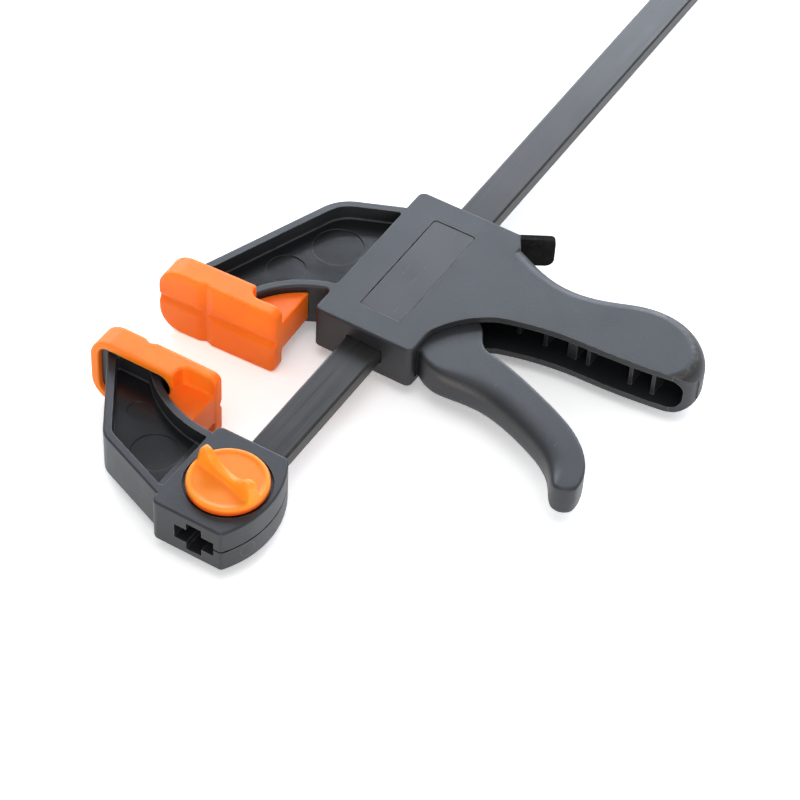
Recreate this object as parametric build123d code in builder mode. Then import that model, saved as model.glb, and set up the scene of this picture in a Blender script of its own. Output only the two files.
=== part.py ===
"""Quick release bar clamp: a pistol-grip clamp with a steel bar, two plastic jaws and orange grip pads.

Frame: the origin lies on the underside of the nose, below the axis of the quick change knob.
+X runs along the bar from the fixed jaw to its free end, +Y points to the jaw tips and +Z is up
through the thickness of the clamp. All sizes are millimetres.
"""
import os
from math import cos, radians, sin, tan

from build123d import *

# ---------------------------------------------------------------------------------------------
# Driving dimensions
# ---------------------------------------------------------------------------------------------
thickness = 16.2  # both jaws, the body and the grip share one thickness
edge_round = 0.7  # broken outer edges of the plastic mouldings
cut_reach = 300.0  # cutting shapes run on this far, past every edge
bury = 0.2  # pieces of one moulding run this far into each other

# Bar and its two stop pins
bar_width = 12.7
bar_thickness = 5.3
bar_length = 337.0
bar_edge_round = 0.8
bar_front_overhang = 9.0  # from the front pin to the bar's front end
bar_rear_overhang = 8.0
roll_pin_diameter = 4.8
roll_pin_wall = 0.8
roll_pin_length = 10.7
roll_pin_split = 0.9
press_gap = 0.02  # pins in their own holes

# Nose of the fixed jaw
nose_half_length = 18.2
nose_top = 15.5
nose_flank = -9.5  # where the curved flank starts
nose_belly = -15.1  # its lowest point
nose_top_round = 2.5
nose_flank_round = 1.5
bar_side_gap = 0.6
bar_lift_gap = 0.15
pin_groove_gap = 0.3
nose_slit = 0.7

# Quick change knob
knob_pocket_radius = 13.7
knob_rim_gap = 1.0
knob_floor = 15.0  # floor of the knob's round pocket
knob_float = 0.2  # disc above that floor
knob_rise = 2.1  # rim above the clamp's face
knob_dish_depth = 0.5
knob_rim_width = 1.6
knob_dish_slope = 35.0  # degrees, of the dish's wall
drum_hole_radius = 9.7
knob_fit = 0.1
drum_bar_gap = 0.4
wing_angle = 14.0  # between the wing and the knob's slot
wing_height = 5.9  # both ends above the rim
wing_saddle = 1.8  # middle of the crest above the rim
wing_saddle_reach = 7.8  # the saddle's arc ends here, each way
wing_foot_reach = 12.0
wing_crest_reach = 11.0
wing_waist = 3.1
wing_end_width = 5.3
wing_draft = 6.0  # degrees
wing_crest_round = 1.4  # corners of the side view
wing_round = 0.8
knob_rim_round = 0.9
ring_wire = 0.6
ring_center_height = 14.25
ring_groove_gap = 0.1
ring_opening = 40.0  # degrees

# Arms: straight outer sides, one rounded shoulder and a round crook on the bar's side
arm_web = 5.4
pocket_corner = 1.0
pocket_floor_bevel = 0.35  # at the foot of the pockets' walls
pocket_floor_slope = 45.0  # degrees
mark_depth = 0.3
fixed_rim = 2.7
fixed_root_x = -14.8
fixed_shoulder = (-4.2, 42.5)
fixed_shoulder_round = 7.7
fixed_tip_y = 61.4
fixed_crook_center = (52.2, 15.95)
fixed_crook_radius = 37.4
fixed_marks = [((13.8, 41.9), 7.3), ((2.3, 28.0), 15.1)]  # ejector marks: center, diameter
moving_rim = 2.9
moving_root_x = 133.0
moving_root_drop = 0.4  # below the top of the body
moving_shoulder = (123.7, 39.4)
moving_shoulder_round = 15.0
moving_tip_y = 60.7
moving_crook_center = (57.05, 10.0)
moving_crook_radius = 30.65
moving_marks = [((91.0, 38.5), 12.9), ((109.1, 30.1), 16.9)]
crook_corner_round = 1.4

# Head plates that carry the pads
head_thickness = 3.0
head_low = 37.5
head_high = 63.8
head_width = 20.0
head_corner = 4.0

# Pads, measured from the face into the pad and from the bar's centre line
fixed_face_x = 32.6
moving_face_x = 62.95
toe_in = 2.2  # degrees
pad_low = 23.8
pad_high = 67.1
pad_width = 25.7
pad_depth = 9.3
pad_tip_round = 8.0
pad_heel_round = 3.0
pad_face_wall = 4.4
pad_side_wall = 2.65
pad_tip_wall = 3.1
pad_head_gap = 0.2
block_low = 36.0
slab_blend = 3.0
fixed_slab = 3.7
fixed_tail_length = 18.0
moving_slab = 4.5
moving_tail_length = 24.0
cross_groove_y = 49.8
cross_groove_width = 4.8
long_groove_width = 4.0
groove_depth = 1.1
tail_width = 11.8
tail_low = 24.1
tail_high = 36.6
tail_gap = 0.35
pad_edge_round = 0.6
bead_radius = 0.5
bead_low = 45.2
bead_length = 11.6

# Body of the moving jaw
wall = 2.2
body_front = 76.4
body_front_wall = 3.0
body_rear = 142.3
body_top = 18.7
body_low = -17.1
body_heel = -19.0  # low end of the body's rear face
body_heel_inner = (136.7, -22.2)
body_heel_overlap = 4.0  # of the body and the grip
guide_gap = 0.25
body_front_round = 2.2
body_rear_round = 2.5
seat_wall_front = 105.0  # partition that the drive spring stands on
seat_wall_thickness = 5.0
seat_wall_low = -9.0
brake_wall_thickness = 5.0  # partition that the brake lever leans on
brake_bay_length = 5.6  # from that partition to the rear wall

# Nameplate
nameplate_center = (109.3, 0.1)
nameplate_length = 46.8
nameplate_width = 15.5
nameplate_recess = 0.8
nameplate_thickness = 0.6
nameplate_gap = 0.15
nameplate_corner = 1.2

# Grip below the body
grip_back_round = 5.4
grip_front = [(84.0, -15.7), (99.6, -24.7), (105.1, -32.5), (108.4, -45.1), (110.0, -58.6), (110.8, -75.0)]
grip_foot = (113.6, -95.4)
grip_foot_center = (119.05, -90.1)  # of the round that takes the foot's corner off
grip_foot_round = 6.2
grip_back = [(140.8, -12.0), (139.4, -20.0), (134.8, -30.0), (131.4, -43.0), (133.2, -55.0)]
grip_back += [(138.0, -68.0), (138.0, -81.0), (130.8, -92.2), (121.4, -96.6)]
grip_back_wall = 8.3
grip_end_wall = 2.9
grip_end_round = 4.5
rib_thickness = 1.3
rib_block = 3.2
rib_front_x = 115.0
rib_reach = 14.0
rib_heights = [-34.8, -44.5, -60.0, -75.1, -83.0]
rib_block_height = -54.2

# Trigger
trigger_pivot = (84.5, 11.5)
trigger_pin_diameter = 4.0
trigger_pin_low = 0.6
trigger_pin_seat = 1.0  # blind end in the upper wall
trigger_pin_chamfer = 0.3
trigger_fit = 0.06
trigger_boss_radius = 4.7
trigger_side_gap = 0.2
cheek_bar_gap = 0.45
fork_front = 80.3
fork_base = -11.0
nose_pad_front = 91.8
nose_pad_radius = 1.2
nose_pad_height = -9.3
trigger_front = [(80.6, -17.6), (76.4, -27.0), (76.4, -37.0), (75.0, -48.0), (70.8, -59.9), (64.0, -72.0)]
trigger_tip = [(56.6, -77.6), (54.2, -82.0), (57.4, -86.6)]
trigger_heel = (65.9, -84.9)
trigger_rear = [(76.2, -76.2), (84.4, -60.6), (90.3, -44.8), (92.2, -37.4)]
trigger_ear = [(94.3, -33.0), (98.6, -30.3), (102.6, -25.4)]
ear_top = -21.6
ear_slope = 4.6
ear_lean = 0.4
trigger_face_round = 1.0

# Drive plates and their spring
drive_plate_thickness = 1.5
drive_plate_count = 2
drive_plate_low = -12.0
drive_plate_high = 15.8
drive_plate_gap = 0.1
drive_nose_gap = 0.3
plate_bar_gap = 0.15
plate_side_gap = 0.3
drive_spring_height = 11.0
drive_spring_diameter = 7.4
drive_spring_wire = 0.8
drive_spring_turns = 5.5
drive_spring_seat = 3.0
spring_seat_gap = 0.35
spring_end_gap = 0.1

# Brake lever, its fulcrum pin and spring
brake_tilt = 5.0  # degrees, the top leans towards the jaws
brake_thickness = 2.4
brake_pivot_inset = 6.5  # from the rear face of the body
brake_pivot_drop = 9.3
brake_pin_diameter = 2.0
brake_pin_seat = 1.2
brake_pin_gap = 0.05
brake_top = 12.6
brake_bar_gap = 0.08
brake_side_gap = 0.3
tab_bend_drop = 0.5
tab_angle = 31.0
tab_length = 21.9
tab_top_round = 1.8
tab_low_round = 3.2
brake_bay_low = -20.2
release_mouth_top = -9.2
brake_spring_height = 9.9
brake_spring_diameter = 5.0
brake_spring_wire = 0.5
brake_spring_turns = 3.0
brake_spring_seat = 1.2

# ---------------------------------------------------------------------------------------------
# Worked out from the driving dimensions
# ---------------------------------------------------------------------------------------------
mid = thickness / 2
bar_low = mid - bar_thickness / 2
bar_high = mid + bar_thickness / 2
bar_front = -bar_front_overhang
bar_rear = bar_front + bar_length
rear_pin_x = bar_rear - bar_rear_overhang
roll_pin_low = mid - roll_pin_length / 2
groove_width = roll_pin_diameter + 2 * pin_groove_gap
groove_height = roll_pin_length + 2 * pin_groove_gap

knob_radius = knob_pocket_radius - knob_rim_gap
knob_top = thickness + knob_rise
drum_radius = drum_hole_radius - knob_fit
drum_low = bar_high + drum_bar_gap
slot_top = mid + groove_height / 2

head_back_depth = pad_face_wall + pad_head_gap + head_thickness
fixed_head_back = fixed_face_x - head_back_depth
pocket_depth = (thickness - arm_web) / 2
pocket_wall_depth = pocket_depth - pocket_floor_bevel

inner_height = thickness - 2 * wall
inner_top = body_top - wall
inner_rear = body_rear - wall
guide_width = bar_width + 2 * guide_gap
guide_height = bar_thickness + 2 * guide_gap
part_height = inner_height - 2 * trigger_side_gap
brake_wall_rear = inner_rear - brake_bay_length
brake_wall_front = brake_wall_rear - brake_wall_thickness
brake_pivot = (body_rear - brake_pivot_inset, -brake_pivot_drop)

nose_pad_x = nose_pad_front - nose_pad_radius
nose_pad_rear = nose_pad_x - nose_pad_radius
drive_plate_front_x = nose_pad_front + drive_nose_gap
drive_plate_step = drive_plate_thickness + drive_plate_gap
drive_hole_width = bar_width + 2 * plate_bar_gap
drive_hole_height = bar_thickness + 2 * plate_side_gap
drive_plate_rear_x = drive_plate_front_x + drive_plate_count * drive_plate_step - drive_plate_gap

# The brake lever's own frame: x towards the rear across the plate, y up along it
brake_frame = Plane(
    origin=(*brake_pivot, mid),
    x_dir=(cos(radians(brake_tilt)), sin(radians(brake_tilt)), 0),
    z_dir=(0, 0, 1),
)
brake_front_face = brake_pin_diameter / 2 + brake_pin_gap
brake_center_face = brake_front_face + brake_thickness / 2
brake_rise = sin(radians(brake_tilt))
brake_bar_height = (brake_pivot_drop - brake_rise * brake_center_face) / cos(radians(brake_tilt))
brake_hole = (bar_width + brake_rise * brake_thickness + 2 * brake_bar_gap) / cos(radians(brake_tilt))
brake_plate_top = brake_top - brake_pivot[1]

# Frames of the two pads: x from the face into the head, y to the jaw tip
fixed_pad_frame = Plane(origin=(fixed_face_x, 0, mid), x_dir=(-1, 0, 0), z_dir=(0, 0, -1))
moving_pad_frame = Plane(
    origin=(moving_face_x, 0, mid),
    x_dir=(cos(radians(toe_in)), sin(radians(toe_in)), 0),
    z_dir=(0, 0, 1),
)


def across(frame):
    """Plane of a pad's face: x to the jaw tip, y across the thickness, normal into the pad."""
    return Plane(frame.origin, x_dir=frame.y_dir, z_dir=frame.x_dir)


def along(frame):
    """Plane square to the pad's length: x into the pad, normal to the jaw tip."""
    return Plane(frame.origin, x_dir=frame.x_dir, z_dir=frame.y_dir)


def tab_corner(height):
    """The short edge through the plate, at the tab's end and one height."""
    return nearest(brake_lever.edges(), tab_frame.from_local_coords(Vector(0, height, 0)))


def nearest(shapes, point):
    """The shape that lies nearest to a point."""
    return shapes.sort_by_distance(Vector(*point))[0]


# ---------------------------------------------------------------------------------------------
# Bar and roll pins
# ---------------------------------------------------------------------------------------------
with BuildPart() as bar:
    with BuildSketch(Plane.YZ.offset(bar_front)):
        with Locations((0, mid)):
            RectangleRounded(bar_width, bar_thickness, bar_edge_round)
    extrude(amount=bar_length)
    with BuildSketch(Plane.XY):
        with Locations((0, 0), (rear_pin_x, 0)):
            Circle(roll_pin_diameter / 2 + press_gap)
    extrude(amount=thickness, mode=Mode.SUBTRACT)
bar.part.label = "bar"


def roll_pin(x):
    """Split spring pin, upright through the bar."""
    with BuildPart() as pin:
        with BuildSketch(Plane.XY.offset(roll_pin_low)):
            with Locations((x, 0)):
                Circle(roll_pin_diameter / 2)
                Circle(roll_pin_diameter / 2 - roll_pin_wall, mode=Mode.SUBTRACT)
            with Locations((x + roll_pin_diameter / 2, 0)):
                Rectangle(2 * roll_pin_wall + roll_pin_split, roll_pin_split, mode=Mode.SUBTRACT)
        extrude(amount=roll_pin_length)
    return pin.part


with BuildPart() as front_roll_pin:
    add(roll_pin(0))
front_roll_pin.part.label = "front_roll_pin"

with BuildPart() as rear_roll_pin:
    add(roll_pin(rear_pin_x))
rear_roll_pin.part.label = "rear_roll_pin"


# ---------------------------------------------------------------------------------------------
# Jaw arms and heads
# ---------------------------------------------------------------------------------------------
def arm_blank(root, shoulder, tip, run_on, shoulder_round, crook_center, crook_radius):
    """Outline of an arm, run on past its root and its tip so that a rim inset ends at both."""
    root_slope = (shoulder[0] - root[0]) / (shoulder[1] - root[1])
    tip_slope = (tip[1] - shoulder[1]) / (tip[0] - shoulder[0])
    reach = run_on if tip[0] > shoulder[0] else -run_on
    low = root[1] - run_on
    with BuildSketch() as blank:
        with BuildLine():
            Polyline(
                (root[0] - root_slope * run_on, low),
                shoulder,
                (tip[0] + reach, tip[1] + tip_slope * reach),
                (tip[0] + reach, low),
                close=True,
            )
        make_face()
        fillet(nearest(blank.vertices(), shoulder), shoulder_round)
        with Locations(crook_center):
            Circle(crook_radius, mode=Mode.SUBTRACT)
    return blank.sketch


def arm_pockets(blank, rim):
    """Cutters for the pockets in both faces: the inset outline, straight walls and a bevelled floor."""
    with BuildSketch() as inset:
        add(blank)
        offset(amount=-rim, kind=Kind.INTERSECTION)
        fillet(inset.vertices().filter_by(is_sharp), pocket_corner)
    with BuildPart() as cutters:
        with BuildSketch(Plane.XY.offset(thickness)):
            add(inset.sketch)
        extrude(amount=-pocket_wall_depth)
        with BuildSketch(Plane.XY.offset(thickness - pocket_wall_depth)):
            add(inset.sketch)
        extrude(amount=-pocket_floor_bevel, taper=pocket_floor_slope)
        mirror(about=Plane.XY.offset(mid))
    return cutters.part


def arm_to_head(blank, frame, turn):
    """The arm's outline, cut off just inside the back of its head plate, which lies turned by turn."""
    start = frame.from_local_coords(Vector(head_back_depth - bury, 0, 0))
    with BuildSketch() as plan:
        add(blank)
        with Locations(Location((start.X, start.Y), turn)):
            Rectangle(cut_reach, 2 * cut_reach, align=(Align.MIN, Align.CENTER), mode=Mode.INTERSECT)
    return plan.sketch


def is_sharp(vertex):
    """True where the outline turns at a vertex."""
    edges = [edge for edge in vertex.topo_parent.edges() if vertex_on(edge, vertex)]
    if len(edges) != 2:
        return False
    ends = [0 if (edge @ 0 - Vector(vertex)).length < 0.01 else 1 for edge in edges]
    tangents = [edge.tangent_at(end) for edge, end in zip(edges, ends)]
    turn = tangents[0].get_angle(tangents[1])
    return 5 < turn < 175


def vertex_on(edge, vertex):
    """True where the vertex is an end of the edge."""
    return min((edge @ 0 - Vector(vertex)).length, (edge @ 1 - Vector(vertex)).length) < 0.01


with BuildSketch() as head_outline:
    with Locations(((head_low + head_high) / 2, 0)):
        RectangleRounded(head_high - head_low, head_width, head_corner)

fixed_root = (fixed_root_x, nose_top)
fixed_tip = (fixed_head_back, fixed_tip_y)
fixed_arm = arm_blank(
    fixed_root,
    fixed_shoulder,
    fixed_tip,
    fixed_rim,
    fixed_shoulder_round,
    fixed_crook_center,
    fixed_crook_radius,
)
fixed_arm_plan = arm_to_head(fixed_arm, fixed_pad_frame, 180)
fixed_arm_pockets = arm_pockets(fixed_arm, fixed_rim)

# ---------------------------------------------------------------------------------------------
# Fixed jaw
# ---------------------------------------------------------------------------------------------
with BuildPart() as fixed_jaw:
    with BuildSketch() as fixed_plan:
        with BuildLine():
            Polyline(
                (nose_half_length, nose_flank),
                (nose_half_length, nose_top),
                (-nose_half_length, nose_top),
                (-nose_half_length, nose_flank),
            )
            ThreePointArc((-nose_half_length, nose_flank), (0, nose_belly), (nose_half_length, nose_flank))
        make_face()
        fillet(fixed_plan.vertices().group_by(Axis.Y)[-1], nose_top_round)
        fillet(fixed_plan.vertices().group_by(Axis.Y)[0], nose_flank_round)
        add(fixed_arm_plan)
    extrude(amount=thickness)
    fillet(fixed_jaw.faces().sort_by(Axis.Z)[-1].outer_wire().edges(), edge_round)
    fillet(fixed_jaw.faces().sort_by(Axis.Z)[0].outer_wire().edges(), edge_round)
    # Pockets in both faces of the arm, down to the web, and the marks on it
    add(fixed_arm_pockets, mode=Mode.SUBTRACT)
    for center, diameter in fixed_marks:
        with BuildSketch(Plane.XY.offset(mid + arm_web / 2 - mark_depth)):
            with Locations(center):
                Circle(diameter / 2)
        extrude(amount=mark_depth, mode=Mode.SUBTRACT)
    # Head plate
    with BuildSketch(across(fixed_pad_frame).offset(head_back_depth)):
        add(head_outline.sketch)
    extrude(amount=-head_thickness)
    # Channel for the bar, groove for its pin and the slit in the flank
    with BuildSketch(Plane.YZ.offset(-nose_half_length)):
        with Locations((0, mid)):
            Rectangle(bar_width + 2 * bar_side_gap, bar_thickness + 2 * bar_lift_gap)
            Rectangle(groove_width, groove_height)
        with Locations((0, mid)):
            Rectangle(-nose_belly, nose_slit, align=(Align.MAX, Align.CENTER))
    extrude(amount=2 * nose_half_length, mode=Mode.SUBTRACT)
    # Pocket and hole for the knob, with the snap ring's groove
    with BuildSketch(Plane.XY.offset(knob_floor)):
        Circle(knob_pocket_radius)
    extrude(amount=thickness, mode=Mode.SUBTRACT)
    with BuildSketch(Plane.XY.offset(mid)):
        Circle(drum_hole_radius)
    extrude(amount=thickness, mode=Mode.SUBTRACT)
    with BuildSketch(Plane.XY.offset(ring_center_height - ring_wire / 2 - ring_groove_gap)):
        Circle(drum_hole_radius + ring_wire)
    extrude(amount=ring_wire + 2 * ring_groove_gap, mode=Mode.SUBTRACT)
fixed_jaw.part.label = "fixed_jaw"

# ---------------------------------------------------------------------------------------------
# Quick change knob and its snap ring
# ---------------------------------------------------------------------------------------------
wing_base = knob_top - knob_dish_depth - bury
wing_rise = knob_top + wing_height - wing_base
wing_plane = Plane(
    origin=(0, 0, wing_base),
    x_dir=(cos(radians(wing_angle)), -sin(radians(wing_angle)), 0),
)
wing_side = Plane(wing_plane.origin, x_dir=wing_plane.y_dir, z_dir=wing_plane.x_dir)
wing_end = wing_end_width / 2


def is_crest(edge):
    """True for the edges between the wing's flanks and its crest."""
    middle = edge.center()
    return middle.Z > knob_top + bury and abs(wing_plane.to_local_coords(middle).X) > bury


with BuildPart() as wing:
    # Bow-tie plan, tapered upwards
    with BuildSketch(wing_plane):
        with BuildLine():
            ThreePointArc((wing_end, -knob_radius), (wing_waist / 2, 0), (wing_end, knob_radius))
            Line((wing_end, knob_radius), (-wing_end, knob_radius))
            ThreePointArc((-wing_end, knob_radius), (-wing_waist / 2, 0), (-wing_end, -knob_radius))
            Line((-wing_end, -knob_radius), (wing_end, -knob_radius))
        make_face()
    extrude(amount=wing_rise + bury, taper=wing_draft)
    # Side view: both ends high and a round saddle between them
    with BuildSketch(wing_side.offset(-wing_end_width)) as wing_view:
        with BuildLine():
            Polyline(
                (-wing_saddle_reach, wing_rise),
                (-wing_crest_reach, wing_rise),
                (-wing_foot_reach, 0),
                (wing_foot_reach, 0),
                (wing_crest_reach, wing_rise),
                (wing_saddle_reach, wing_rise),
            )
            ThreePointArc(
                (wing_saddle_reach, wing_rise),
                (0, wing_rise - wing_height + wing_saddle),
                (-wing_saddle_reach, wing_rise),
            )
        make_face()
        fillet(wing_view.vertices().group_by(Axis.Z)[-1], wing_crest_round)
    extrude(amount=2 * wing_end_width, mode=Mode.INTERSECT)
    fillet([edge for edge in wing.edges() if is_crest(edge)], wing_round)

with BuildPart() as quick_change_knob:
    with BuildSketch(Plane.XY.offset(knob_floor + knob_float)):
        Circle(knob_radius)
    extrude(amount=knob_top - knob_floor - knob_float)
    fillet(quick_change_knob.edges().group_by(Axis.Z)[-1], knob_rim_round)
    fillet(quick_change_knob.edges().group_by(Axis.Z)[0], edge_round)
    with BuildSketch(Plane.XY.offset(knob_top)):
        Circle(knob_radius - knob_rim_width)
    extrude(amount=-knob_dish_depth, taper=knob_dish_slope, mode=Mode.SUBTRACT)
    add(wing.part)
    # Drum with the slot that lets the bar's pin pass only when the knob is turned
    with BuildSketch(Plane.XY.offset(drum_low)):
        Circle(drum_radius)
    extrude(amount=knob_floor + knob_float - drum_low)
    with BuildSketch(Plane.XY.offset(drum_low)):
        Rectangle(groove_width, cut_reach)
    extrude(amount=slot_top - drum_low, mode=Mode.SUBTRACT)
    with BuildSketch(Plane.XY.offset(ring_center_height - ring_wire / 2 - ring_groove_gap)):
        Circle(drum_hole_radius + ring_wire)
        Circle(drum_radius - ring_wire, mode=Mode.SUBTRACT)
    extrude(amount=ring_wire + 2 * ring_groove_gap, mode=Mode.SUBTRACT)
quick_change_knob.part.label = "quick_change_knob"

with BuildPart() as knob_snap_ring:
    with BuildSketch(Plane.XZ):
        with Locations(((drum_radius + drum_hole_radius) / 2, ring_center_height)):
            Circle(ring_wire / 2)
    revolve(axis=Axis.Z, revolution_arc=360 - ring_opening)
knob_snap_ring.part.label = "knob_snap_ring"


# ---------------------------------------------------------------------------------------------
# Pads
# ---------------------------------------------------------------------------------------------
with BuildSketch() as pad_outline:
    with Locations(((pad_low + pad_high) / 2, 0)):
        Rectangle(pad_high - pad_low, pad_width)
    fillet(pad_outline.vertices().group_by(Axis.X)[-1], pad_tip_round)
    fillet(pad_outline.vertices().group_by(Axis.X)[0], pad_heel_round)


def groove_profile(width):
    """Triangle cut into a pad's face by one of its crossed grooves."""
    Polygon((0, width / 2), (0, -width / 2), (groove_depth, 0), align=None)


def soft_pad(frame, slab_depth, tail_length, crook_center, crook_radius):
    """Cup-shaped grip pad that is pressed over a head plate, with a tail under the arm's crook."""
    face = across(frame)
    cup_low = head_low - pad_head_gap
    cup_high = pad_high - pad_tip_wall
    cup_width = pad_width - 2 * pad_side_wall
    crook = frame.to_local_coords(Vector(*crook_center, mid))
    with BuildPart() as pad:
        with BuildSketch(face):
            add(pad_outline.sketch)
        extrude(amount=slab_depth)
        with BuildSketch(face):
            add(pad_outline.sketch)
            with Locations((block_low, 0)):
                Rectangle(cut_reach, cut_reach, align=(Align.MIN, Align.CENTER), mode=Mode.INTERSECT)
        extrude(amount=pad_depth)
        heel = frame.from_local_coords(Vector(slab_depth, block_low, 0))
        fillet(nearest(pad.edges(), heel), slab_blend)
        face_center = frame.origin + frame.y_dir * cross_groove_y
        front_face = nearest(pad.faces(), face_center)
        back_face = nearest(pad.faces(), face_center + frame.x_dir * pad_depth)
        fillet(front_face.outer_wire().edges() + back_face.outer_wire().edges(), pad_edge_round)
        with BuildSketch(frame):
            with Locations((0, tail_low)):
                Rectangle(tail_length, tail_high - tail_low, align=Align.MIN)
            with Locations((crook.X, crook.Y)):
                Circle(crook_radius - tail_gap, mode=Mode.INTERSECT)
        extrude(amount=tail_width / 2, both=True)
        with BuildSketch(face.offset(pad_face_wall)):
            with Locations(((cup_low + cup_high) / 2, 0)):
                RectangleRounded(cup_high - cup_low, cup_width, head_corner)
        extrude(amount=pad_depth, mode=Mode.SUBTRACT)
        # Relief behind the head plate, where the arm's crook comes down
        with BuildSketch(frame):
            with Locations((head_back_depth, tail_high)):
                Rectangle(pad_depth, head_low - tail_high + pad_side_wall, align=Align.MIN)
            with Locations((crook.X, crook.Y)):
                Circle(crook_radius - tail_gap, mode=Mode.SUBTRACT)
        extrude(amount=thickness / 2 + pad_head_gap, both=True, mode=Mode.SUBTRACT)
        # Beads that snap behind the head plate
        bead_depth = pad_depth - 2 * bead_radius
        with BuildSketch(along(frame).offset(bead_low)):
            with Locations((bead_depth, cup_width / 2), (bead_depth, -cup_width / 2)):
                Circle(bead_radius)
        extrude(amount=bead_length)
        # Crossed grooves of the face
        with BuildSketch(frame):
            with Locations((0, cross_groove_y)):
                groove_profile(cross_groove_width)
        extrude(amount=pad_width, both=True, mode=Mode.SUBTRACT)
        with BuildSketch(along(frame)):
            groove_profile(long_groove_width)
        extrude(amount=2 * pad_high, mode=Mode.SUBTRACT)
    return pad.part


with BuildPart() as fixed_jaw_pad:
    add(soft_pad(fixed_pad_frame, fixed_slab, fixed_tail_length, fixed_crook_center, fixed_crook_radius))
fixed_jaw_pad.part.label = "fixed_jaw_pad"

with BuildPart() as moving_jaw_pad:
    add(soft_pad(moving_pad_frame, moving_slab, moving_tail_length, moving_crook_center, moving_crook_radius))
moving_jaw_pad.part.label = "moving_jaw_pad"


# ---------------------------------------------------------------------------------------------
# Housing: body, moving jaw's arm and head, and the grip, moulded as one
# ---------------------------------------------------------------------------------------------
moving_root = (moving_root_x, body_top - moving_root_drop)
moving_tip_x = moving_face_x + head_back_depth - moving_tip_y * tan(radians(toe_in))
moving_tip = (moving_tip_x, moving_tip_y)
moving_arm = arm_blank(
    moving_root,
    moving_shoulder,
    moving_tip,
    moving_rim,
    moving_shoulder_round,
    moving_crook_center,
    moving_crook_radius,
)
moving_arm_plan = arm_to_head(moving_arm, moving_pad_frame, toe_in)
moving_arm_pockets = arm_pockets(moving_arm, moving_rim)

# Grip alone: flat faces, a nearly half-round back and an open front
with BuildPart() as grip:
    with BuildSketch():
        with BuildLine():
            Line(grip_back[0], (grip_front[0][0], grip_back[0][1]))
            Line((grip_front[0][0], grip_back[0][1]), grip_front[0])
            ThreePointArc(*grip_front[0:3])
            ThreePointArc(*grip_front[2:5])
            Spline(*grip_front[4:], grip_foot)
            Spline(grip_foot, *reversed(grip_back))
        make_face()
    extrude(amount=thickness)
    back = nearest(grip.faces(), (*grip_back[4], mid))
    back_edges = [edge for edge in back.edges() if abs(edge.tangent_at(0.5).Z) < 0.5]
    fillet(back_edges, grip_back_round)
    with BuildSketch():
        with Locations(grip_foot_center):
            Rectangle(2 * grip_foot_round, 2 * grip_foot_round, align=Align.MAX)
            Circle(grip_foot_round, mode=Mode.SUBTRACT)
    extrude(amount=thickness, mode=Mode.SUBTRACT)

# Hollow for the trigger and the drive, open to the front of the grip
channel_back = [(x - grip_back_wall, y) for x, y in grip_back[1:-2]]
channel_foot = (grip_foot[0] + grip_end_round, grip_back[-1][1] + grip_end_wall)
with BuildSketch() as hollow:
    with BuildLine():
        Polyline(
            channel_foot,
            (fork_front, channel_foot[1]),
            (fork_front, body_low - bury),
            (body_front + body_front_wall, body_low - bury),
            (body_front + body_front_wall, inner_top),
            (brake_wall_front, inner_top),
            (brake_wall_front, channel_back[0][1]),
        )
        Spline((brake_wall_front, channel_back[0][1]), *channel_back[1:], channel_foot)
    make_face()

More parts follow.
